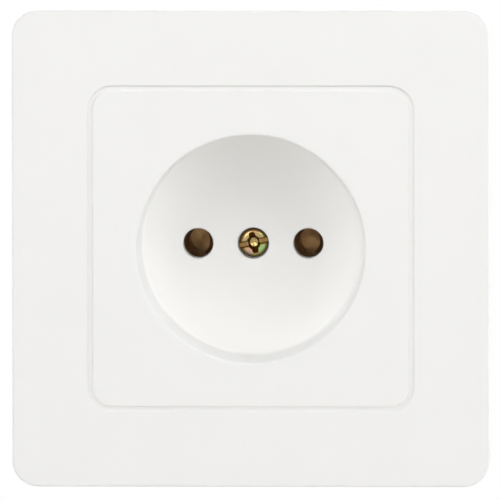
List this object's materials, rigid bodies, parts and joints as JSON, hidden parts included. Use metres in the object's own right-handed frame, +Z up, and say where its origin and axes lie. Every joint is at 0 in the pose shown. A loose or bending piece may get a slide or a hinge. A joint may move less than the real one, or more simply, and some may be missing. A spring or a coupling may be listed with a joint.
{
  "type": "flush wall socket",
  "caption": "Square flush wall socket: surround frame and cover plate with a round plug cup, sprung contacts in an insulating base, steel strap and spreading claws for a round wall box.",
  "frame": {"origin": "centre of the socket on the wall plane, midway between the two slots for the box screws", "axes": "+Z up, +X to the right seen from the front, +Y into the wall, so the front faces -Y"},
  "size_m": [0.082, 0.0387, 0.082],
  "materials": {
    "white_plastic": "satin gloss",
    "base_plastic": "matte moulded",
    "zinc_steel": "zinc plated",
    "yellow_zinc_steel": "yellow zinc plated",
    "contact_brass": "satin, browned",
    "spring_steel": "blued"
  },
  "bodies": {
    "socket": {"base": "base_plastic", "claw_nut_left": "zinc_steel", "claw_nut_right": "zinc_steel", "claw_screw_left": "yellow_zinc_steel", "claw_screw_right": "yellow_zinc_steel", "contact_left": "contact_brass", "contact_right": "contact_brass", "contact_spring_left": "spring_steel", "contact_spring_right": "spring_steel", "cover_nut": "zinc_steel", "cover_plate": "white_plastic", "cover_screw": "yellow_zinc_steel", "frame": "white_plastic", "strap_screws": "zinc_steel", "support_strap": "zinc_steel", "terminal_screw_left": "yellow_zinc_steel", "terminal_screw_right": "yellow_zinc_steel", "terminal_washer_left": "zinc_steel", "terminal_washer_right": "zinc_steel"},
    "claw_left": {"claw_left": "zinc_steel"},
    "claw_right": {"claw_right": "zinc_steel"}
  },
  "joints": [
    {"name": "claw_left_swing", "type": "hinge", "parent": "socket", "child": "claw_left", "pos_m": [-0.01915, 0.01215, 0], "axis": [0, 0, 1], "range_deg": [0, 22]},
    {"name": "claw_right_swing", "type": "hinge", "parent": "socket", "child": "claw_right", "pos_m": [0.01915, 0.01215, 0], "axis": [0, 0, -1], "range_deg": [0, 22]}
  ]
}
